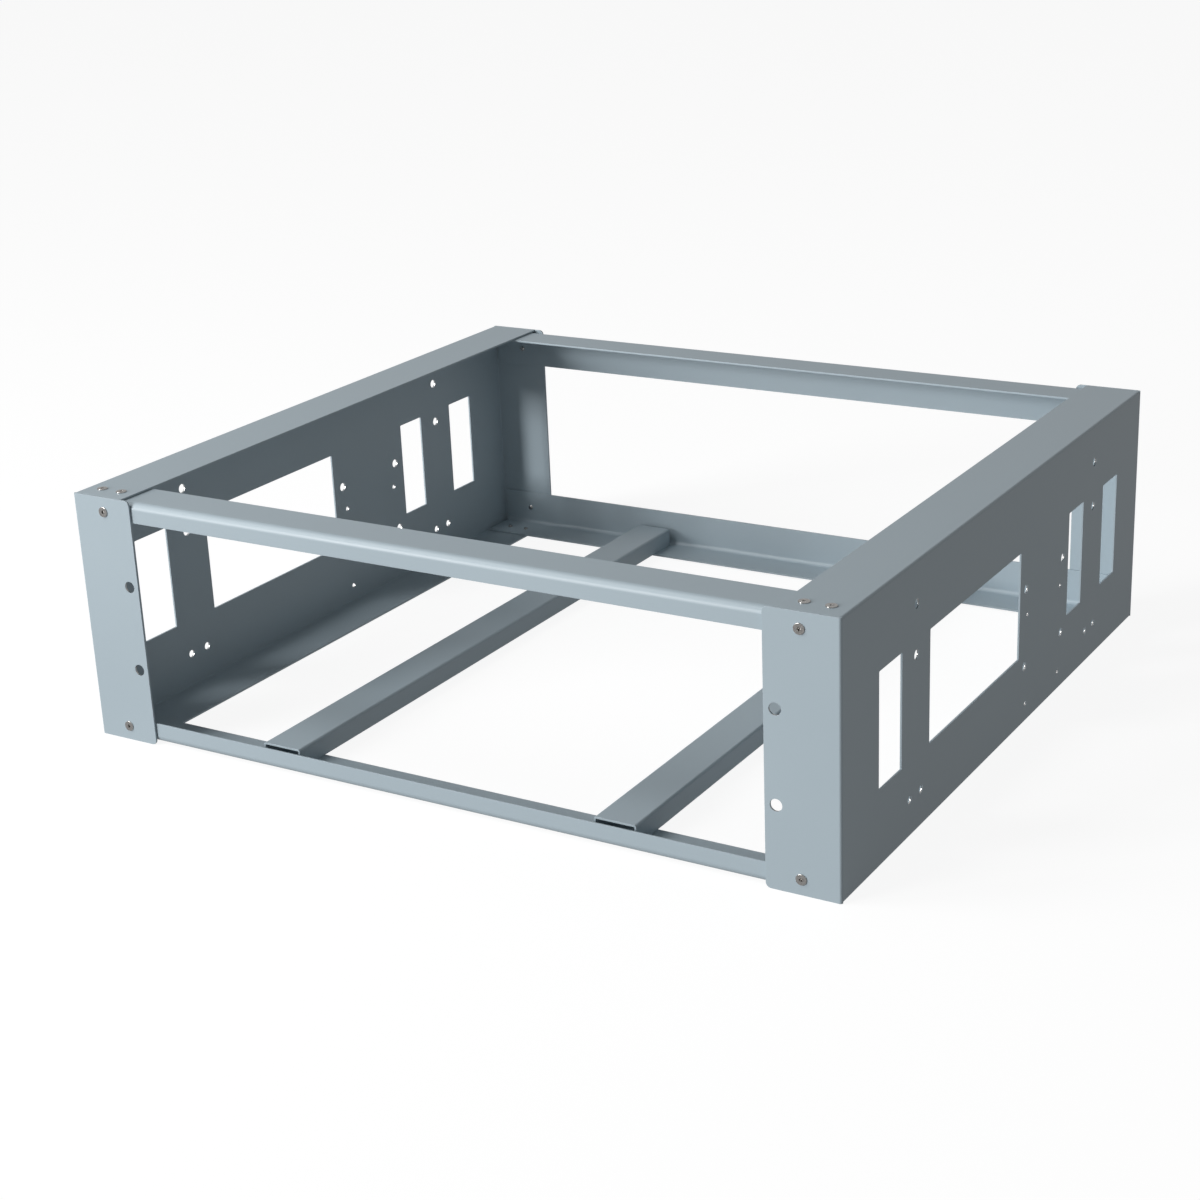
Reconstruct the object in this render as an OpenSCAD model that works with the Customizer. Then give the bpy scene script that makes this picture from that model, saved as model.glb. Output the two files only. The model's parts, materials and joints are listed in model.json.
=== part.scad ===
// Battery rack: a screwed frame of folded sheet steel that stands on its base, front towards -Y.
// Two folded side panels are joined by four angle bars, and two channel rails carry the batteries.
// Origin at the middle of the base, +X to the right seen from the front, +Z up, millimetres.

/* [Overall] */
// Width over the two side panels
overall_w = 792; // [600:1:1000]
// Depth from the front flanges to the rear flanges
overall_d = 722; // [640:1:900]
// Height of the side panels
overall_h = 246; // [220:1:320]

/* [Sheet] */
// Thickness of the folded sheet
sheet_t = 2; // [1.5:0.1:3]
// Inside bend radius of the side panels and the rails
tight_bend_r = 0.5; // [0.3:0.1:1.5]
// Inside bend radius of the four bars
wide_bend_r = 5; // [2:0.5:8]
// Room left by the paint between two sheets that are screwed together
paint_gap = 0.3; // [0.1:0.05:0.5]

/* [Side panels] */
// Width of the front and rear flanges, over the web
end_flange_w = 68.5; // [66:0.5:80]
// Width of the top and bottom flanges, over the web
edge_flange_w = 57.5; // [55:0.5:64]
// Radius of the free corners of the front and rear flanges
flange_corner_r = 5; // [2:0.5:8]
// Width of the slit that parts the bends at each corner of the web
corner_slit = 0.6; // [0.4:0.1:1.5]
// Seam between the end of a top or bottom flange and the flange that it meets
seam = 0.2; // [0.1:0.05:0.5]

/* [Side windows] */
// Height of the four windows, which sit at mid height
window_h = 105; // [70:1:115]
// Corner radius of the windows
window_corner_r = 1; // [0.5:0.1:3]
// Front face to the first window
window_front_margin = 71.5; // [65:0.5:85]
// Width of the first window
window_1_w = 46; // [30:0.5:55]
// Width of the post between the first and the second window
post_12_w = 58.5; // [50:0.5:70]
// Width of the post between the second and the third window
post_23_w = 128.5; // [120:0.5:150]
// Width of the third window
window_3_w = 40; // [30:0.5:50]
// Width of the post between the third and the fourth window
post_34_w = 57; // [50:0.5:70]
// Width of the fourth window
window_4_w = 42.5; // [30:0.5:50]
// Rear face to the fourth window
window_rear_margin = 66.5; // [60:0.5:80]

/* [Side holes] */
// Diameter of the hanger holes in the two narrow posts
hanger_hole_d = 9; // [6:0.5:11]
// Top of the panel to the upper hanger hole
hanger_drop = 38; // [30:1:45]
// Upper to lower hanger hole
hanger_pitch = 45; // [35:1:60]
// Diameter of the foot holes under the two narrow posts
foot_hole_d = 7.5; // [5:0.5:9]
// Height of the foot holes
foot_hole_z = 35; // [25:1:45]
// Distance between the two foot holes of a pair
foot_hole_pitch = 24; // [18:1:40]
// Diameter of the large holes in the wide post
large_hole_d = 9; // [6:0.5:11]
// Distance between the large holes along the panel
large_hole_pitch_y = 98; // [90:1:108]
// Distance between the large holes up the panel
large_hole_pitch_z = 77; // [60:1:90]
// Height of the lower large holes
large_hole_z = 58.5; // [50:0.5:70]
// Diameter of the small holes in the wide post
small_hole_d = 5; // [3:0.5:7]
// Distance between the small holes along the panel
small_hole_pitch_y = 87.5; // [70:0.5:95]
// Distance between the small holes up the panel
small_hole_pitch_z = 90; // [75:1:100]
// Height of the lower small holes
small_hole_z = 19; // [14:0.5:26]

/* [Front flange holes] */
// Diameter of the holes that fix the rack by its front flanges
front_hole_d = 11; // [7:0.5:12]
// Free edge of the front flange to the front holes
front_hole_margin = 10.5; // [8:0.5:16]
// Height of the lower front hole
front_hole_z = 76; // [60:1:90]
// Lower to upper front hole
front_hole_pitch = 84; // [60:1:110]

/* [Bars] */
// Depth of the level flange of each bar
bar_depth = 44.5; // [40:0.5:60]
// Height of the upright flange of the two front bars
front_bar_h = 19.5; // [18:0.5:30]
// Height of the upright flange of the two rear bars
rear_bar_h = 40.5; // [34:0.5:60]
// Room between the end of a bar and the web of a panel
bar_end_gap = 5; // [2:0.5:8]

/* [Rails] */
// Width of each rail
rail_w = 42; // [30:0.5:80]
// Height of each rail
rail_h = 19.6; // [15:0.1:30]
// Distance between the middles of the two rails
rail_pitch = 359.5; // [200:0.5:440]
// Room between the end of a rail and the bend of the bar under it
rail_end_gap = 0.3; // [0.1:0.1:5]

/* [Screws] */
// Thread diameter
screw_d = 5; // [3:0.5:6]
// Diameter of the low heads at the front, rear and top
low_head_d = 10; // [7:0.1:11]
// Height of the low heads
low_head_h = 1; // [0.8:0.1:3]
// Radius round the top edge of the low heads
low_head_edge_r = 0.35; // [0.1:0.05:0.6]
// Diameter of the countersunk heads under the base
sunk_head_d = 9.3; // [7:0.1:10]
// How far a screw reaches past the bar that it is driven into
tip_reach = 1.8; // [0.5:0.1:4]
// Span of the cross recess
recess_span = 4.9; // [3:0.1:5.5]
// Depth of the cross recess
recess_depth = 1.7; // [1:0.1:2]
// Play of a screw in the panel, on the diameter
panel_hole_play = 0.5; // [0.2:0.1:1]
// Play of a screw in the bar's threaded hole, on the diameter
thread_play = 0.1; // [0.06:0.02:0.2]

/* [Screw places] */
// End of a bar to the front screws
front_screw_from_end = 29; // [24:0.5:40]
// Bend of a front bar to the front screws
front_screw_from_bend = 5; // [4.5:0.1:6.5]
// End of a bar to the rear screws
rear_screw_from_end = 33; // [24:0.5:45]
// Bend of a rear bar to the rear screws
rear_screw_from_bend = 14.3; // [8:0.1:20]
// End of a bar to the outer top screw
top_screw_from_end = 11; // [8:0.5:16]
// Outer to inner top screw
top_screw_pitch = 23.5; // [18:0.5:26]
// Bend of the front bar to the top screws
top_screw_from_bend = 11.5; // [8:0.1:20]
// End of a bar to the outer base screw
base_screw_from_end = 18; // [10:0.5:22]
// Outer to inner base screw
base_screw_pitch = 22.5; // [16:0.5:24]
// Bend of a bar to the base screws
base_screw_from_bend = 19.3; // [12:0.1:26]

/* [Hidden] */
$fn = 64;
// Reach of a cut past the faces that it goes through
CUT = 1;
PAINT = [0.60, 0.66, 0.69];
PAINT_SHADE = [0.52, 0.58, 0.61];
STEEL = [0.72, 0.71, 0.70];

panel_bend = tight_bend_r + sheet_t;
bar_bend = wide_bend_r + sheet_t;
// Outer face of a bar, in from the outer face of the panels
bar_inset = sheet_t + paint_gap;
// End of a bar's bend, in from the outer face of the panels
bar_flat_start = bar_inset + bar_bend;
bar_len = overall_w - 2 * (sheet_t + bar_end_gap);
// Face of the base bars that the rails stand on
deck_z = bar_inset + sheet_t;
rail_len = overall_d - 2 * (deck_z + wide_bend_r + rail_end_gap);

// Screw length under a low head, and over all for a countersunk one
screw_len = bar_inset + sheet_t + tip_reach;
screw_tip_chamfer = screw_d / 10;
sunk_head_h = (sunk_head_d - screw_d) / 2;

window_z = (overall_h - window_h) / 2;
// Front edge of each window, from the front face
window_1_y = window_front_margin;
window_2_y = window_1_y + window_1_w + post_12_w;
window_4_y = overall_d - window_rear_margin - window_4_w;
window_3_y = window_4_y - post_34_w - window_3_w;
window_2_w = window_3_y - post_23_w - window_2_y;
WINDOWS = [[window_1_y, window_1_w], [window_2_y, window_2_w],
           [window_3_y, window_3_w], [window_4_y, window_4_w]];
// Middle of each post between two windows, from the front face
NARROW_POSTS = [window_2_y - post_12_w / 2, window_4_y - post_34_w / 2];
wide_post_y = window_3_y - post_23_w / 2;

// Words that place a piece, and that its name is made of
ENDS = ["front", "rear"];
SIDES = ["left", "right"];
LEVELS = ["top", "base"];
ROWS = ["outer", "inner"];

// -1 towards the left or the front, 1 towards the right or the rear
function way(word) = word == "left" || word == "front" ? -1 : 1;

// Across the rack from its middle to a screw
function end_screw_x(end) =
    bar_len / 2 - (end == "front" ? front_screw_from_end : rear_screw_from_end);
function top_screw_x(row) =
    bar_len / 2 - top_screw_from_end - (row == "inner" ? top_screw_pitch : 0);
function base_screw_x(row) =
    bar_len / 2 - base_screw_from_end - (row == "inner" ? base_screw_pitch : 0);

// In from the top or base edge of a panel to a screw through its front or rear flange
function end_screw_drop(end) =
    bar_flat_start + (end == "front" ? front_screw_from_bend : rear_screw_from_bend);

// Quarter ring of a bend, with its outer faces on the two axes
module bend_2d(outer_r) {
    intersection() {
        square(outer_r);
        translate([outer_r, outer_r]) difference() {
            circle(outer_r);
            circle(outer_r - sheet_t);
        }
    }
}

// Angle section: one leg along +X and one along +Y, with the bend at the origin
module angle_2d(leg_x, leg_y, outer_r) {
    bend_2d(outer_r);
    translate([outer_r, 0]) square([leg_x - outer_r, sheet_t]);
    translate([0, outer_r]) square([sheet_t, leg_y - outer_r]);
}

// Channel section: web along +Y from the origin, both flanges towards +X
module channel_2d(web, flange, outer_r) {
    for (end = [0, 1])
        translate([0, end * web]) mirror([0, end]) angle_2d(flange, web / 2, outer_r);
}

// Rounded rectangle from the origin, with a radius for the corners at its +X side
module tab_2d(size, corner_r) {
    square([size.x - corner_r, size.y]);
    translate([0, corner_r]) square([size.x, size.y - 2 * corner_r]);
    for (y = [corner_r, size.y - corner_r])
        translate([size.x - corner_r, y]) circle(corner_r);
}

// Window outline from the origin, with a small radius at all corners
module window_2d(size, corner_r) {
    translate([corner_r, 0]) square([size.x - 2 * corner_r, size.y]);
    translate([0, corner_r]) square([size.x, size.y - 2 * corner_r]);
    for (x = [corner_r, size.x - corner_r], y = [corner_r, size.y - corner_r])
        translate([x, y]) circle(corner_r);
}

// Sets its children, drawn from the front face at y = 0, at the front or turned over at the rear
module at_end(end) {
    mirror([0, end == "rear" ? 1 : 0, 0]) translate([0, -overall_d / 2, 0]) children();
}

// Leaves its children, drawn up from the base, or turns them over under the top
module at_level(level) {
    translate([0, 0, level == "top" ? overall_h : 0])
        mirror([0, 0, level == "top" ? 1 : 0]) children();
}

// Web of a panel with its top and bottom flanges, outer face on the YZ plane
module web_with_edge_flanges() {
    bend_len = overall_d - 2 * (panel_bend + corner_slit);
    flat_len = overall_d - 2 * (sheet_t + seam);
    rotate([90, 0, 0]) translate([0, 0, -bend_len / 2])
        linear_extrude(bend_len) channel_2d(overall_h, edge_flange_w, panel_bend);
    for (z = [0, overall_h - sheet_t])
        translate([panel_bend, -flat_len / 2, z])
            cube([edge_flange_w - panel_bend, flat_len, sheet_t]);
}

// Front or rear flange of a panel with its bend and the strip of web that carries it
module end_flange() {
    linear_extrude(overall_h) bend_2d(panel_bend);
    translate([panel_bend, sheet_t, 0]) rotate([90, 0, 0])
        linear_extrude(sheet_t) tab_2d([end_flange_w - panel_bend, overall_h], flange_corner_r);
    translate([0, panel_bend, panel_bend])
        cube([sheet_t, corner_slit + CUT, overall_h - 2 * panel_bend]);
}

// Hole through the web at a place given from the front face and the base
module web_hole(y, z, d) {
    translate([-CUT, y - overall_d / 2, z]) rotate([0, 90, 0]) cylinder(d = d, h = sheet_t + 2 * CUT);
}

module web_openings() {
    for (w = WINDOWS)
        translate([-CUT, w[0] - overall_d / 2, window_z]) rotate([90, 0, 90])
            linear_extrude(sheet_t + 2 * CUT) window_2d([w[1], window_h], window_corner_r);
    for (post = NARROW_POSTS) {
        for (i = [0, 1]) web_hole(post, overall_h - hanger_drop - i * hanger_pitch, hanger_hole_d);
        for (ahead = [-1, 1]) web_hole(post + ahead * foot_hole_pitch / 2, foot_hole_z, foot_hole_d);
    }
    for (ahead = [-1, 1], i = [0, 1]) {
        web_hole(wide_post_y + ahead * large_hole_pitch_y / 2, large_hole_z + i * large_hole_pitch_z,
                 large_hole_d);
        web_hole(wide_post_y + ahead * small_hole_pitch_y / 2, small_hole_z + i * small_hole_pitch_z,
                 small_hole_d);
    }
}

// Screw places: the children's origin is on the outer face of the sheet, with +Z out of the rack
module at_end_screw(end, side, level) {
    at_level(level) at_end(end)
        translate([way(side) * end_screw_x(end), 0, end_screw_drop(end)]) rotate([90, 0, 0]) children();
}

module at_top_screw(side, row) {
    from_front = bar_flat_start + top_screw_from_bend;
    at_end("front") translate([way(side) * top_screw_x(row), from_front, overall_h]) children();
}

module at_base_screw(end, side, row) {
    at_end(end) translate([way(side) * base_screw_x(row), bar_flat_start + base_screw_from_bend, 0])
        rotate([180, 0, 0]) children();
}

// Bore for a screw, from the outer face through both sheets
module screw_bore(play) {
    translate([0, 0, -screw_len - CUT]) cylinder(d = screw_d + play, h = screw_len + 2 * CUT);
}

// Seat for the head of a countersunk screw
module sunk_seat() {
    seat_d = sunk_head_d + thread_play;
    translate([0, 0, -sunk_head_h]) cylinder(d1 = screw_d + thread_play, d2 = seat_d, h = sunk_head_h);
    cylinder(d = seat_d, h = CUT);
}

// All the screw bores on one side of the rack
module screw_bores(side, play) {
    for (end = ENDS, level = LEVELS) at_end_screw(end, side, level) screw_bore(play);
    for (row = ROWS) at_top_screw(side, row) screw_bore(play);
    for (end = ENDS, row = ROWS) at_base_screw(end, side, row) {
        screw_bore(play);
        sunk_seat();
    }
}

// Plain hole through the front flange of the left panel, drawn in the panel's own place
module front_hole(z) {
    translate([end_flange_w - front_hole_margin, sheet_t + CUT, z])
        rotate([90, 0, 0]) cylinder(d = front_hole_d, h = sheet_t + 2 * CUT);
}

// Left panel in its place: web, four flanges, windows and holes
module left_panel_form() {
    difference() {
        translate([-overall_w / 2, 0, 0]) difference() {
            union() {
                web_with_edge_flanges();
                for (end = ENDS) at_end(end) end_flange();
            }
            web_openings();
            for (i = [0, 1]) at_end("front") front_hole(front_hole_z + i * front_hole_pitch);
        }
        screw_bores("left", panel_hole_play);
    }
}

module left_side_panel() {
    color(PAINT_SHADE) left_panel_form();
}

module right_side_panel() {
    color(PAINT) mirror([1, 0, 0]) left_panel_form();
}

// Angle bar along X, with its level leg against a top or base flange and its upright leg against
// the front or rear flanges
module bar(end, level) {
    upright_h = end == "front" ? front_bar_h : rear_bar_h;
    color(PAINT) difference() {
        at_level(level) at_end(end) translate([-bar_len / 2, bar_inset, bar_inset]) rotate([90, 0, 90])
            linear_extrude(bar_len) angle_2d(bar_depth, upright_h, bar_bend);
        for (side = SIDES) screw_bores(side, thread_play);
    }
}

// Rail: a channel turned over, standing on the level legs of the two base bars
module rail(side) {
    color(PAINT) translate([way(side) * rail_pitch / 2 + rail_w / 2, -rail_len / 2, deck_z + rail_h])
        rotate([-90, 90, 0]) linear_extrude(rail_len) channel_2d(rail_w, rail_h, panel_bend);
}

// Cross recess, cut down from the top of a head
module cross_recess() {
    wing_w = recess_span / 4;
    translate([0, 0, -recess_depth]) intersection() {
        cylinder(d1 = wing_w, d2 = recess_span, h = recess_depth);
        for (turn = [0, 90]) rotate(turn)
            translate([-recess_span / 2, -wing_w / 2, 0]) cube([recess_span, wing_w, recess_depth]);
    }
}

// Threaded shank down from z = 0, with a chamfered tip
module shank(len) {
    translate([0, 0, -len + screw_tip_chamfer]) cylinder(d = screw_d, h = len - screw_tip_chamfer);
    translate([0, 0, -len])
        cylinder(d1 = screw_d - 2 * screw_tip_chamfer, d2 = screw_d, h = screw_tip_chamfer);
}

// Half section of a low head, with its top edge rounded
module low_head_2d() {
    side_h = low_head_h - low_head_edge_r;
    flat_r = low_head_d / 2 - low_head_edge_r;
    square([low_head_d / 2, side_h]);
    square([flat_r, low_head_h]);
    intersection() {
        square([low_head_d / 2, low_head_h]);
        translate([flat_r, side_h]) circle(low_head_edge_r);
    }
}

// Screw with a low flat head, whose underside is at the origin
module low_screw() {
    color(STEEL) difference() {
        union() {
            rotate_extrude() low_head_2d();
            shank(screw_len);
        }
        translate([0, 0, low_head_h]) cross_recess();
    }
}

// Countersunk screw with the flat of its head at the origin
module sunk_screw() {
    color(STEEL) difference() {
        union() {
            translate([0, 0, -sunk_head_h]) cylinder(d1 = screw_d, d2 = sunk_head_d, h = sunk_head_h);
            shank(screw_len);
        }
        cross_recess();
    }
}

module end_screw(end, side, level) {
    at_end_screw(end, side, level) low_screw();
}

module top_screw(side, row) {
    at_top_screw(side, row) low_screw();
}

module base_screw(end, side, row) {
    at_base_screw(end, side, row) sunk_screw();
}

left_side_panel();
right_side_panel();
for (end = ENDS, level = LEVELS)
    bar(end, level);
for (side = SIDES)
    rail(side);
for (end = ENDS, side = SIDES, level = LEVELS)
    end_screw(end, side, level);
for (side = SIDES, row = ROWS)
    top_screw(side, row);
for (end = ENDS, side = SIDES, row = ROWS)
    base_screw(end, side, row);
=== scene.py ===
# %% [markdown]
# A battery rack of folded sheet steel.
# The CAD model comes in as a fixed frame, in metres, with its front towards -Y and its base on the
# floor. This lesson gives it its looks: painted edges that catch the light, real cross-recess screws,
# a satin powder coat, and a plain studio with the camera at the photograph's angle.

# %% Load the frame
import json
import math

import bpy
from mathutils import Matrix, Vector


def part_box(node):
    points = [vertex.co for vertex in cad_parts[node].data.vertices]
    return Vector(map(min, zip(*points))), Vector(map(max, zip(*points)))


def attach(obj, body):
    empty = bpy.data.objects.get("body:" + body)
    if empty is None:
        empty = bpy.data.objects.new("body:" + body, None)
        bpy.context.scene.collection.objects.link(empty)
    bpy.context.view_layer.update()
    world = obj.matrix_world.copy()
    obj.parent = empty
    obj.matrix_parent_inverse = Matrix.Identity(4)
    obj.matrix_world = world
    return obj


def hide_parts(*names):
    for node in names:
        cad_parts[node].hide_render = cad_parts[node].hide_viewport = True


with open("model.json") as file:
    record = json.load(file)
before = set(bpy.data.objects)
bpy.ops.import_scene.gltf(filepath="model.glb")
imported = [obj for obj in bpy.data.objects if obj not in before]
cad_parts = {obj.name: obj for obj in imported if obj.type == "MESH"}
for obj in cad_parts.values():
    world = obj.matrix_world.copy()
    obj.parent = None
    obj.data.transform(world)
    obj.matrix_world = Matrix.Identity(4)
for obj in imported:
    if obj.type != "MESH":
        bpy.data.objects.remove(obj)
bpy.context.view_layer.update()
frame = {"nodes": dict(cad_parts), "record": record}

MM = 0.001
nodes = frame["nodes"]


# %% [markdown]
# The camera stands to the front right of the rack and above it.
# Its place, turn, dip and lens come from the rack's own straight edges in the photograph, and a
# small roll levels them. The frame is square, so the sensor's 36 mm are both its width and height.

# %% Camera
CAMERA_AT = Vector((1.0719, -1.8068, 0.8532))
CAMERA_TURN = 31.66
CAMERA_DIP = 20.22
CAMERA_ROLL = -2.45
CAMERA_LENS = 66.66
SENSOR = 36
CAMERA_NEAR, CAMERA_FAR = 0.05, 60


def aim(turn, dip, roll=0.0):
    """Attitude of a camera or lamp: turned to the left of straight ahead, dipped, then rolled."""
    return (Matrix.Rotation(math.radians(turn), 4, "Z")
            @ Matrix.Rotation(math.radians(90 - dip), 4, "X")
            @ Matrix.Rotation(math.radians(roll), 4, "Z"))


bpy.ops.object.camera_add(location=CAMERA_AT)
camera = bpy.context.object
camera.name = "camera"
camera.rotation_euler = aim(CAMERA_TURN, CAMERA_DIP, CAMERA_ROLL).to_euler()
camera.data.lens = CAMERA_LENS
camera.data.sensor_width = SENSOR
camera.data.clip_start, camera.data.clip_end = CAMERA_NEAR, CAMERA_FAR
bpy.context.scene.camera = camera


# %% [markdown]
# The studio is a white one. A floor or backdrop could be made white by strong lamps, but those would
# wash out the paint. Here the floor and the world glow white for the camera's own rays and for those
# that pass through something clear. They light the rack only dimly, and what mirrors in it is a
# little brighter than that. The floor also has a dim matt shade, on which the soft shadow falls.

# %% Rays that see the studio


def studio_glow(tree, low, high, shine_share):
    """Low for rays that only light things, high for the camera's, between for a shiny surface's."""
    path = tree.nodes.new("ShaderNodeLightPath")
    shiny = tree.nodes.new("ShaderNodeMath")
    shiny.operation = "MULTIPLY"
    shiny.inputs[1].default_value = shine_share
    tree.links.new(path.outputs["Is Glossy Ray"], shiny.inputs[0])
    seen = path.outputs["Is Camera Ray"]
    for other in (shiny.outputs[0], path.outputs["Is Transmission Ray"]):
        most = tree.nodes.new("ShaderNodeMath")
        most.operation = "MAXIMUM"
        tree.links.new(seen, most.inputs[0])
        tree.links.new(other, most.inputs[1])
        seen = most.outputs[0]
    level = tree.nodes.new("ShaderNodeMapRange")
    level.inputs["To Min"].default_value, level.inputs["To Max"].default_value = low, high
    tree.links.new(seen, level.inputs["Value"])
    return level.outputs["Result"]


# %% Floor
FLOOR_SIZE = 16.0
FLOOR_SHADE = 0.15
FLOOR_GLOW = (0.22, 0.9, 0.15)
WHITE = (1, 1, 1, 1)


def new_material(name):
    """A named material with an empty tree and its output."""
    material = bpy.data.materials.new(name)
    material.use_nodes = True
    material.node_tree.nodes.clear()
    return material, material.node_tree, material.node_tree.nodes.new("ShaderNodeOutputMaterial")


def floor_material():
    material, tree, out = new_material("pale_floor")
    shade = tree.nodes.new("ShaderNodeBsdfDiffuse")
    shade.inputs["Color"].default_value = (FLOOR_SHADE, FLOOR_SHADE, FLOOR_SHADE, 1)
    glow = tree.nodes.new("ShaderNodeEmission")
    glow.inputs["Color"].default_value = WHITE
    tree.links.new(studio_glow(tree, *FLOOR_GLOW), glow.inputs["Strength"])
    both = tree.nodes.new("ShaderNodeAddShader")
    tree.links.new(shade.outputs[0], both.inputs[0])
    tree.links.new(glow.outputs[0], both.inputs[1])
    tree.links.new(both.outputs[0], out.inputs["Surface"])
    return material


def deselect():
    bpy.ops.object.select_all(action="DESELECT")


deselect()
bpy.ops.mesh.primitive_plane_add(size=FLOOR_SIZE)
floor = bpy.context.object
floor.name = "floor"
floor.data.materials.append(floor_material())

# %% World
SKY_GLOW = (0.185, 1.0, 0.4)

world = bpy.data.worlds.new("white_studio")
world.use_nodes = True
bpy.context.scene.world = world
sky = world.node_tree.nodes["Background"]
sky.inputs["Color"].default_value = WHITE
world.node_tree.links.new(studio_glow(world.node_tree, *SKY_GLOW), sky.inputs["Strength"])


# %% [markdown]
# The shadows inside the rack tell where the photograph's main lamp stands: the left panel's top
# flange throws its edge down the rear top bar, and light through the last window falls on the rear
# flange behind it. Both point to a tall softbox, far off to the front left and only 14 degrees up.
# The bright line along the front top bar's bend is a second, smaller softbox: the bend mirrors it
# where it faces halfway between that lamp and the camera. The right side is lit by the dim studio
# alone. The strengths were fitted by rendering each light by itself and weighing the sum.

# %% Lamps
LAMP_TARGET = Vector((0, 0, 0.12))
KEY_TURN, KEY_DIP, KEY_FAR = -34.0, 14.0, 12.0
KEY_SIZE = (3.9, 5.4)
KEY_WATTS = 1130.0
HIGH_TURN, HIGH_DIP, HIGH_FAR = -48.0, 48.0, 2.6
HIGH_SIZE = (0.8, 1.6)
HIGH_WATTS = 25.0


def softbox(name, turn, dip, far, size, watts):
    """An area lamp that looks at the middle of the rack from a distance."""
    attitude = aim(turn, dip)
    place = LAMP_TARGET + attitude.to_3x3() @ Vector((0, 0, far))
    bpy.ops.object.light_add(type="AREA", location=place)
    lamp = bpy.context.object
    lamp.name = name
    lamp.rotation_euler = attitude.to_euler()
    lamp.data.shape = "RECTANGLE"
    lamp.data.size, lamp.data.size_y = size
    lamp.data.energy = watts


softbox("key_softbox", KEY_TURN, KEY_DIP, KEY_FAR, KEY_SIZE, KEY_WATTS)
softbox("high_softbox", HIGH_TURN, HIGH_DIP, HIGH_FAR, HIGH_SIZE, HIGH_WATTS)
bpy.context.scene.view_settings.view_transform = "Standard"


# %% [markdown]
# Powder coat is paint that was sprayed on dry and melted in an oven. It is satin, has a fine orange
# peel from the melting, and its colour and gloss drift slightly over a large sheet. Noise at three
# sizes makes this: clouds about 25 cm wide for the drift, flecks under a millimetre for the pigment,
# and waves of 2 to 3 mm for the peel, which only bend the light.

# %% Powder coat
COAT_DARK = (0.375, 0.452, 0.500, 1)
COAT_LIGHT = (0.400, 0.480, 0.528, 1)
COAT_GLOSS = (0.36, 0.44)
COAT_IOR = 1.5
CLOUD_SCALE, FLECK_SCALE, PEEL_SCALE = 4.0, 1400.0, 420.0
CLOUD_DETAIL, FLECK_DETAIL, FINE_DETAIL = 3.0, 1.0, 2.0
NOISE_LOW, NOISE_HIGH = 0.3, 0.7
FLECK_SHARE = 0.25
PEEL_STRENGTH, PEEL_HEIGHT = 0.10, 0.03 * MM


def noise(tree, source, scale, detail=FINE_DETAIL):
    """Noise on the object's own coordinates, which are metres in the rack's frame."""
    node = tree.nodes.new("ShaderNodeTexNoise")
    node.inputs["Scale"].default_value = scale
    node.inputs["Detail"].default_value = detail
    tree.links.new(source, node.inputs["Vector"])
    return node.outputs["Fac"]


def ramp(tree, source, low, high):
    """A colour that goes from low to high with the source."""
    node = tree.nodes.new("ShaderNodeValToRGB")
    first, last = node.color_ramp.elements
    first.position, last.position = NOISE_LOW, NOISE_HIGH
    first.color, last.color = low, high
    tree.links.new(source, node.inputs["Fac"])
    return node.outputs["Color"]


def spread(tree, source, low, high):
    """A number that goes from low to high with the source."""
    node = tree.nodes.new("ShaderNodeMapRange")
    node.inputs["From Min"].default_value, node.inputs["From Max"].default_value = NOISE_LOW, NOISE_HIGH
    node.inputs["To Min"].default_value, node.inputs["To Max"].default_value = low, high
    tree.links.new(source, node.inputs["Value"])
    return node.outputs["Result"]


def bumped(tree, source, shader, strength, height):
    """The source bends the shader's light, as a surface that high would."""
    node = tree.nodes.new("ShaderNodeBump")
    node.inputs["Strength"].default_value = strength
    node.inputs["Distance"].default_value = height
    tree.links.new(source, node.inputs["Height"])
    tree.links.new(node.outputs["Normal"], shader.inputs["Normal"])


def powder_coat():
    material, tree, out = new_material("blue_grey_powder_coat")
    shader = tree.nodes.new("ShaderNodeBsdfPrincipled")
    shader.inputs["IOR"].default_value = COAT_IOR
    here = tree.nodes.new("ShaderNodeTexCoord").outputs["Object"]
    clouds = noise(tree, here, CLOUD_SCALE, CLOUD_DETAIL)
    flecks = noise(tree, here, FLECK_SCALE, FLECK_DETAIL)
    mixed = tree.nodes.new("ShaderNodeMix")
    mixed.inputs["Factor"].default_value = FLECK_SHARE
    tree.links.new(clouds, mixed.inputs["A"])
    tree.links.new(flecks, mixed.inputs["B"])
    tree.links.new(ramp(tree, mixed.outputs["Result"], COAT_DARK, COAT_LIGHT), shader.inputs["Base Color"])
    tree.links.new(spread(tree, clouds, *COAT_GLOSS), shader.inputs["Roughness"])
    bumped(tree, noise(tree, here, PEEL_SCALE), shader, PEEL_STRENGTH, PEEL_HEIGHT)
    tree.links.new(shader.outputs[0], out.inputs["Surface"])
    return material


COAT = powder_coat()
print("coat colours", COAT_DARK[:3], COAT_LIGHT[:3])


# %% [markdown]
# The screws are zinc-plated steel: a metal whose plating is a little cloudy, with a fine grain. The
# clouds are about a millimetre wide and the grain is finer still, because a whole head is only
# about 10 mm across.

# %% Zinc-plated steel
ZINC_DARK = (0.40, 0.385, 0.37, 1)
ZINC_LIGHT = (0.60, 0.585, 0.57, 1)
ZINC_GLOSS = (0.14, 0.26)
ZINC_CLOUD_SCALE, ZINC_GRAIN_SCALE = 900.0, 6000.0
ZINC_STRENGTH, ZINC_HEIGHT = 0.15, 0.01 * MM


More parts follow.
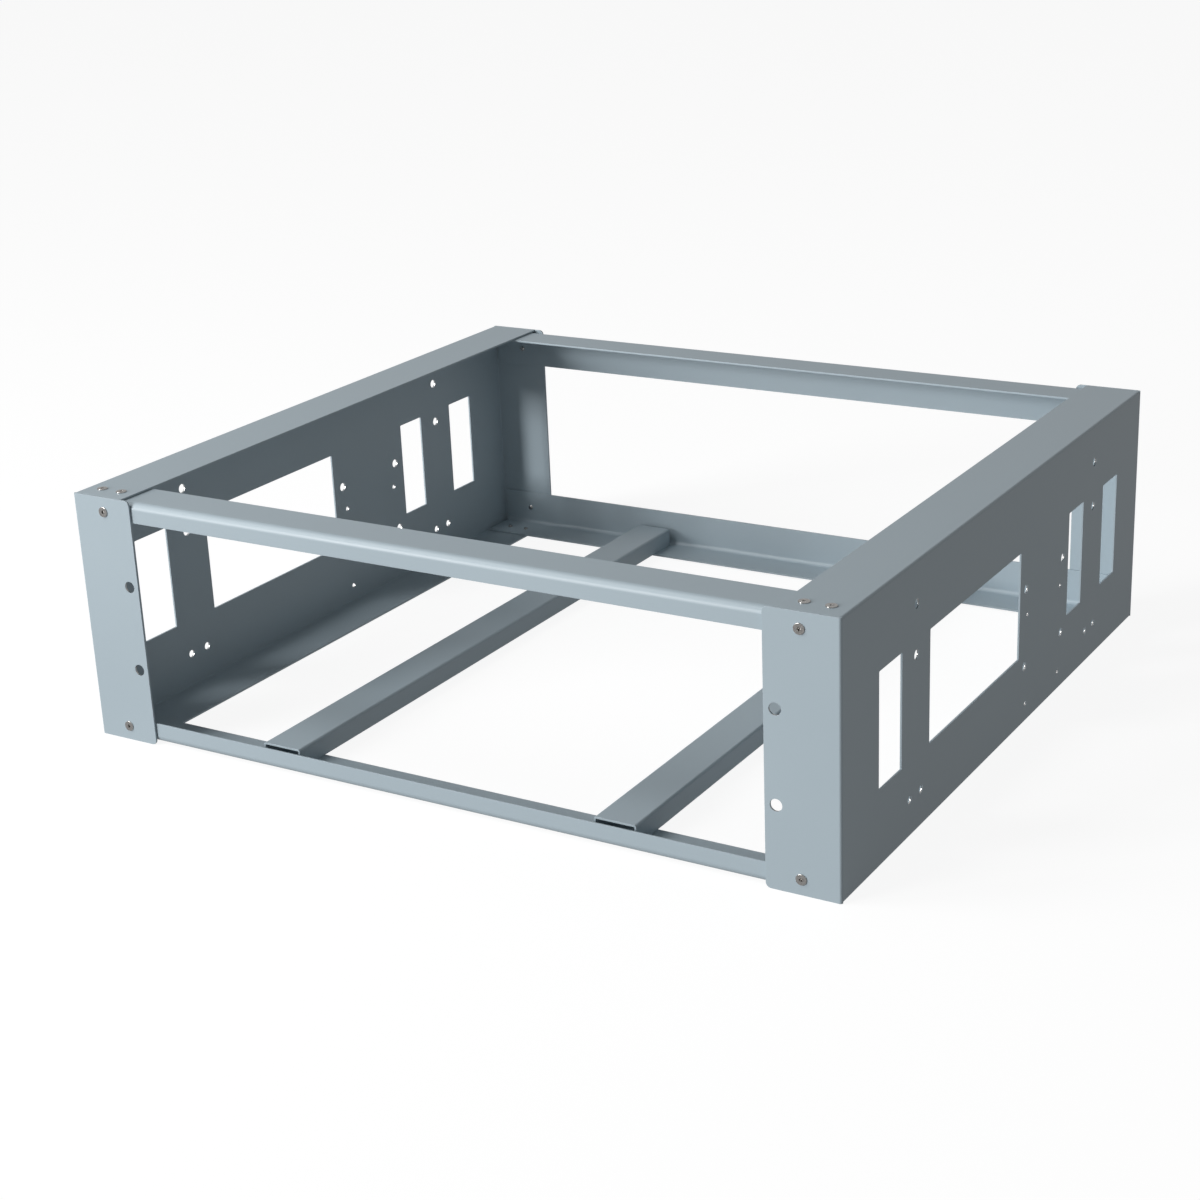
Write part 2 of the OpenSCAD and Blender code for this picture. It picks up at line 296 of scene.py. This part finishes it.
def zinc_steel():
    material, tree, out = new_material("zinc_plated_steel")
    shader = tree.nodes.new("ShaderNodeBsdfPrincipled")
    shader.inputs["Metallic"].default_value = 1.0
    here = tree.nodes.new("ShaderNodeTexCoord").outputs["Object"]
    clouds = noise(tree, here, ZINC_CLOUD_SCALE, CLOUD_DETAIL)
    tree.links.new(ramp(tree, clouds, ZINC_DARK, ZINC_LIGHT), shader.inputs["Base Color"])
    tree.links.new(spread(tree, clouds, *ZINC_GLOSS), shader.inputs["Roughness"])
    bumped(tree, noise(tree, here, ZINC_GRAIN_SCALE), shader, ZINC_STRENGTH, ZINC_HEIGHT)
    tree.links.new(shader.outputs[0], out.inputs["Surface"])
    return material


ZINC = zinc_steel()


# %% [markdown]
# Each folded piece has the right shape already, but its edges are as sharp as only a drawing's are.
# On the real rack the shears leave a small radius and the paint rounds it further, so every edge
# shows as a thin bright or dark line. A copy of each CAD mesh is merged, its flat triangles are
# dissolved into whole faces, and a Bevel modifier rounds the edges. It takes only those with a bevel
# weight, which are those where two faces meet sharply, because the lines that are left between flat
# faces would tear if they were rounded too. Loop slide is off: it would draw new points far along
# those lines and fold the sheet over itself. A bevel in the material would be simpler, but it would
# be lost in the exported mesh.

# %% Helpers for edit mode
MERGE = 0.001 * MM
FACE_WEIGHT = 100


def edit(piece):
    """Selects a piece alone, and all of its mesh, in edit mode."""
    deselect()
    piece.select_set(True)
    bpy.context.view_layer.objects.active = piece
    bpy.ops.object.mode_set(mode="EDIT")
    bpy.ops.mesh.select_all(action="SELECT")


def done():
    bpy.ops.object.mode_set(mode="OBJECT")


def with_modifier(piece, kind, **settings):
    """Adds a modifier with its settings and applies it."""
    deselect()
    piece.select_set(True)
    bpy.context.view_layer.objects.active = piece
    modifier = piece.modifiers.new(kind.lower(), kind)
    for name, value in settings.items():
        setattr(modifier, name, value)
    bpy.ops.object.modifier_apply(modifier=modifier.name)


def finished(piece, name, node, material, smooth_below):
    """Smooths what is nearly flat, keeps the flats flat, and puts the piece in its node's stead."""
    deselect()
    piece.select_set(True)
    bpy.context.view_layer.objects.active = piece
    bpy.ops.object.shade_smooth_by_angle(angle=math.radians(smooth_below))
    with_modifier(piece, "WEIGHTED_NORMAL", keep_sharp=True, weight=FACE_WEIGHT)
    piece.name = piece.data.name = name
    piece.data.materials.clear()
    piece.data.materials.append(material)
    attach(piece, "root")
    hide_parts(node)


# %% Soften the edges of the folded pieces
EDGE_RADIUS = 0.35 * MM
EDGE_STEPS = 2
SHARP_FROM = 50.0
FLAT_BELOW = 0.5
SMOOTH_BELOW = 36.0
PANELS = ("left_side_panel", "right_side_panel")
FOLDED = PANELS + ("front_top_bar", "front_base_bar", "rear_top_bar", "rear_base_bar",
                   "left_rail", "right_rail")


def sharp_edges(mesh):
    """Numbers of the edges at which two faces meet at a sharp angle."""
    faces_at = {}
    for face in mesh.polygons:
        for key in face.edge_keys:
            faces_at.setdefault(key, []).append(face.normal)
    return [edge.index for edge in mesh.edges if len(faces_at[edge.key]) == 2
            and math.degrees(faces_at[edge.key][0].angle(faces_at[edge.key][1])) > SHARP_FROM]


def weigh(piece, edges):
    """Gives edges the full bevel weight, in edge mode, so that no neighbour is taken with them."""
    edit(piece)
    bpy.ops.mesh.select_mode(type="EDGE")
    bpy.ops.mesh.select_all(action="DESELECT")
    done()
    for number in edges:
        piece.data.edges[number].select = True
    bpy.ops.object.mode_set(mode="EDIT")
    bpy.ops.transform.edge_bevelweight(value=1)
    bpy.ops.mesh.select_all(action="DESELECT")
    bpy.ops.mesh.select_mode(type="VERT")
    done()


def held_in_box(piece, node):
    """Draws back any point that the rounding put a little past the CAD solid's box."""
    low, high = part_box(node)
    for point in piece.data.vertices:
        point.co = [min(max(c, l), h) for c, l, h in zip(point.co, low, high)]


def painted_copy(node):
    """The visible piece for a folded CAD node: its own mesh, with the sharp edges rounded."""
    piece = bpy.data.objects.new("painted", nodes[node].data.copy())
    bpy.context.scene.collection.objects.link(piece)
    edit(piece)
    bpy.ops.mesh.customdata_custom_splitnormals_clear()
    bpy.ops.mesh.remove_doubles(threshold=MERGE)
    bpy.ops.mesh.dissolve_limited(angle_limit=math.radians(FLAT_BELOW))
    done()
    weigh(piece, sharp_edges(piece.data))
    with_modifier(piece, "BEVEL", width=EDGE_RADIUS, segments=EDGE_STEPS, limit_method="WEIGHT",
                  use_clamp_overlap=False, loop_slide=False, miter_outer="MITER_ARC")
    held_in_box(piece, node)
    finished(piece, node + "_painted", node, COAT, SMOOTH_BELOW)
    return piece


painted = {}
for node in FOLDED:
    painted[node] = painted_copy(node)
    print(painted[node].name, len(painted[node].data.polygons), "faces")


# %% [markdown]
# The walls of the round fixing holes shine like bare metal in the photograph, as they do when a
# sheet is drilled or reamed after it was painted. The record of the part says where its bolt
# patterns are, so the walls are found from there: faces round a hole's middle that look at its axis.

# %% Bare walls of the fixing holes
WALL_REACH = 2.5 * MM
WALL_LEAN = 0.3
WALL_PLAY = 0.1


def hole_middles(mount):
    """Middle of each hole of a bolt pattern, which is laid out level and upright on its sheet."""
    dims = mount["dims"]
    upright = Vector((0, 0, 1))
    level = upright.cross(Vector(mount["axis"]))
    ups = (-1, 1) if "spacing_y_mm" in dims else (0,)
    return [Vector(mount["pos_m"]) + level * across * dims["spacing_x_mm"] / 2 * MM
            + upright * up * dims.get("spacing_y_mm", 0) / 2 * MM
            for across in (-1, 1) for up in ups]


def bare_walls(piece, middle, axis, radius):
    """Gives the faces round a hole's axis the bare metal, which is the piece's second material."""
    count = 0
    for face in piece.data.polygons:
        reach = face.center - middle
        depth = reach.dot(axis)
        if abs(depth) < WALL_REACH and (reach - axis * depth).length < radius:
            if abs(face.normal.dot(axis)) < WALL_LEAN:
                face.material_index = 1
                count += 1
    return count


for side in PANELS:
    painted[side].data.materials.append(ZINC)
for mount in frame["record"]["mounts"]:
    if mount["kind"] == "bolt_pattern":
        axis, radius = Vector(mount["axis"]), (mount["dims"]["hole_r_mm"] + WALL_PLAY) * MM
        bare = sum(bare_walls(painted[side], middle, axis, radius)
                   for side in PANELS for middle in hole_middles(mount))
        print(mount["name"], bare, "bare faces")


# %% [markdown]
# A machine screw is a turned part: a profile swept round its axis gives the head, one pitch of the
# thread swept round and down gives the shank, and a punch with four tapered wings and a pointed
# middle leaves the cross recess. The screws are drawn upright, in millimetres from the underside
# of the head, and the thread is a true helix, because its end shows inside the rack.

# %% Draw and sweep a profile
ROUND_STEPS = 64


def place_point(radius, height):
    """A mesh of one point, to draw a profile from."""
    deselect()
    bpy.ops.mesh.primitive_plane_add(size=MM)
    piece = bpy.context.object
    bpy.ops.object.mode_set(mode="EDIT")
    bpy.ops.mesh.select_all(action="SELECT")
    bpy.ops.mesh.merge(type="CENTER")
    bpy.ops.transform.translate(value=(radius * MM, 0, height * MM))
    return piece


def draw_on(across, up):
    bpy.ops.mesh.extrude_region_move(TRANSFORM_OT_translate={"value": (across * MM, 0, up * MM)})


def closed_up():
    """Merges the seam of a swept shape and turns its faces outwards."""
    bpy.ops.mesh.select_all(action="SELECT")
    bpy.ops.mesh.remove_doubles(threshold=MERGE)
    bpy.ops.mesh.normals_make_consistent(inside=False)


def turned(profile):
    """A turned solid from points (radius, height), of which the first and last are on the axis."""
    piece = place_point(*profile[0])
    for (r0, z0), (r1, z1) in zip(profile, profile[1:]):
        draw_on(r1 - r0, z1 - z0)
    bpy.ops.mesh.select_all(action="SELECT")
    bpy.ops.mesh.spin(steps=ROUND_STEPS, angle=2 * math.pi, center=(0, 0, 0), axis=(0, 0, 1))
    closed_up()
    done()
    return piece


# %% Thread
SCREW_LENGTH = 6.1
THREAD_ROOT, THREAD_CREST, THREAD_PITCH = 2.05, 2.46, 0.8
THREAD_STEPS = 36
THREAD_FLANK, THREAD_FLAT = 0.40, 0.14
TIP_HEIGHT, TIP_SHARE = 0.4, 0.86
SPARE_TURNS = 2
CUT_NEAR = 1e-8


def threaded_shank(top):
    """Shank from inside the head down to the tip: one pitch swept as a helix and cut off flat."""
    piece = place_point(THREAD_ROOT, top + THREAD_PITCH)
    crest = THREAD_CREST - THREAD_ROOT
    rest = 1 - 2 * THREAD_FLANK - THREAD_FLAT
    for across, up in ((crest, THREAD_FLANK), (0, THREAD_FLAT), (-crest, THREAD_FLANK), (0, rest)):
        draw_on(across, up * THREAD_PITCH)
    bpy.ops.mesh.select_all(action="SELECT")
    turns = math.ceil((top + SCREW_LENGTH) / THREAD_PITCH) + SPARE_TURNS
    bpy.ops.mesh.screw(steps=THREAD_STEPS, turns=turns, center=(0, 0, 0), axis=(0, 0, 1))
    closed_up()
    for height, gone in ((-SCREW_LENGTH, "clear_inner"), (top, "clear_outer")):
        bpy.ops.mesh.select_all(action="SELECT")
        bpy.ops.mesh.bisect(plane_co=(0, 0, height * MM), plane_no=(0, 0, 1), use_fill=True,
                            threshold=CUT_NEAR, **{gone: True})
    closed_up()
    done()
    narrow_below(piece, TIP_HEIGHT - SCREW_LENGTH, TIP_SHARE, TIP_SHARE)
    return piece


def narrow_below(piece, height, share_x, share_y):
    """Draws in the points below a height towards the axis."""
    edit(piece)
    bpy.ops.mesh.select_all(action="DESELECT")
    done()
    for point in piece.data.vertices:
        point.select = point.co.z < height * MM
    bpy.ops.object.mode_set(mode="EDIT")
    bpy.ops.transform.resize(value=(share_x, share_y, 1), center_override=(0, 0, 0))
    done()


# %% Cross recess
RECESS_SPAN, RECESS_WING, RECESS_DEPTH = 4.9, 1.15, 1.8
RECESS_ABOVE = 1.0
WING_SHARES = (0.30, 0.80)
POINT_RADIUS, POINT_EXTRA = 1.35, 0.15


def joined(piece, other, how):
    """Adds another closed shape to a piece, or cuts it out of it."""
    with_modifier(piece, "BOOLEAN", operation=how, object=other, solver="EXACT")
    bpy.data.objects.remove(other)


def wing_punch(top):
    """One straight punch right across the head, narrower at its bottom."""
    deselect()
    bpy.ops.mesh.primitive_cube_add(size=MM)
    punch = bpy.context.object
    depth = RECESS_DEPTH + RECESS_ABOVE
    edit(punch)
    bpy.ops.transform.resize(value=(RECESS_SPAN, RECESS_WING, depth))
    bpy.ops.transform.translate(value=(0, 0, (top - RECESS_DEPTH + depth / 2) * MM))
    done()
    narrow_below(punch, top, *WING_SHARES)
    return punch


def point_punch(top):
    """The pointed middle of the punch."""
    deselect()
    depth = RECESS_DEPTH + POINT_EXTRA
    bpy.ops.mesh.primitive_cone_add(vertices=ROUND_STEPS, radius1=0, radius2=POINT_RADIUS * MM,
                                    depth=depth * MM)
    punch = bpy.context.object
    edit(punch)
    bpy.ops.transform.translate(value=(0, 0, (top - depth / 2) * MM))
    done()
    return punch


def recess(piece, top):
    """Punches the cross recess into the top of a head: two crossing wings and a pointed middle."""
    for quarter in range(2):
        punch = wing_punch(top)
        edit(punch)
        bpy.ops.transform.rotate(value=quarter * math.pi / 2, orient_axis="Z", center_override=(0, 0, 0))
        done()
        joined(piece, punch, "DIFFERENCE")
    joined(piece, point_punch(top), "DIFFERENCE")
    edit(piece)
    bpy.ops.mesh.remove_doubles(threshold=MERGE)
    done()


# %% Low head and countersunk screws
LOW_HEIGHT, SUNK_DEPTH = 1.0, 2.15
LOW_PROFILE = ((0, LOW_HEIGHT), (4.55, LOW_HEIGHT), (4.72, 0.98), (4.87, 0.89), (4.97, 0.74),
               (5.0, 0.58), (5.0, 0.08), (4.96, 0.02), (4.88, 0), (2.3, 0), (0, 0))
SUNK_PROFILE = ((0, 0), (4.45, 0), (4.60, -0.04), (4.65, -0.14), (2.5, -SUNK_DEPTH), (0, -SUNK_DEPTH))
SHANK_INTO_HEAD = 0.4


def screw(name, profile, head_top, shank_top):
    """A whole screw, upright, with the underside of its head (or its flat, if countersunk) at 0."""
    piece = turned(profile)
    piece.name = name
    joined(piece, threaded_shank(shank_top), "UNION")
    recess(piece, head_top)
    return piece


low_master = screw("low_master", LOW_PROFILE, LOW_HEIGHT, SHANK_INTO_HEAD)
sunk_master = screw("sunk_master", SUNK_PROFILE, 0.0, SHANK_INTO_HEAD - SUNK_DEPTH)
for master in (low_master, sunk_master):
    print(master.name, len(master.data.polygons), "faces")


# %% [markdown]
# Every screw is a copy with a mesh of its own. Its place is read from the box of the CAD screw that
# it stands for: the two share an axis and a tip. In the photograph all the crosses stand upright, so
# no copy is turned about its own axis.

# %% Drive the screws home
OUTWARD = {"front": Vector((0, -1, 0)), "rear": Vector((0, 1, 0)),
           "top": Vector((0, 0, 1)), "base": Vector((0, 0, -1))}
SCREW_SMOOTH_BELOW = 40.0
ALONG_AXIS = 0.5


def driven(node, master, outward):
    """A copy of a screw on its CAD node's axis, with its tip where the node's tip is."""
    low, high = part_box(node)
    tip = Vector([m if abs(o) < ALONG_AXIS else (l if o > 0 else h)
                  for m, o, l, h in zip((low + high) / 2, outward, low, high)])
    piece = bpy.data.objects.new("driven", master.data.copy())
    bpy.context.scene.collection.objects.link(piece)
    attitude = outward.to_track_quat("Z", "Y").to_matrix().to_4x4()
    piece.data.transform(Matrix.Translation(tip + outward * SCREW_LENGTH * MM) @ attitude)
    finished(piece, node + "_threaded", node, ZINC, SCREW_SMOOTH_BELOW)
    return piece


screws = [name for name in sorted(nodes) if "_screw_" in name]
for name in screws:
    family = name.split("_")[0]
    driven(name, sunk_master if family == "base" else low_master, OUTWARD[family])
for master in (low_master, sunk_master):
    bpy.data.objects.remove(master)
print(len(screws), "screws driven")
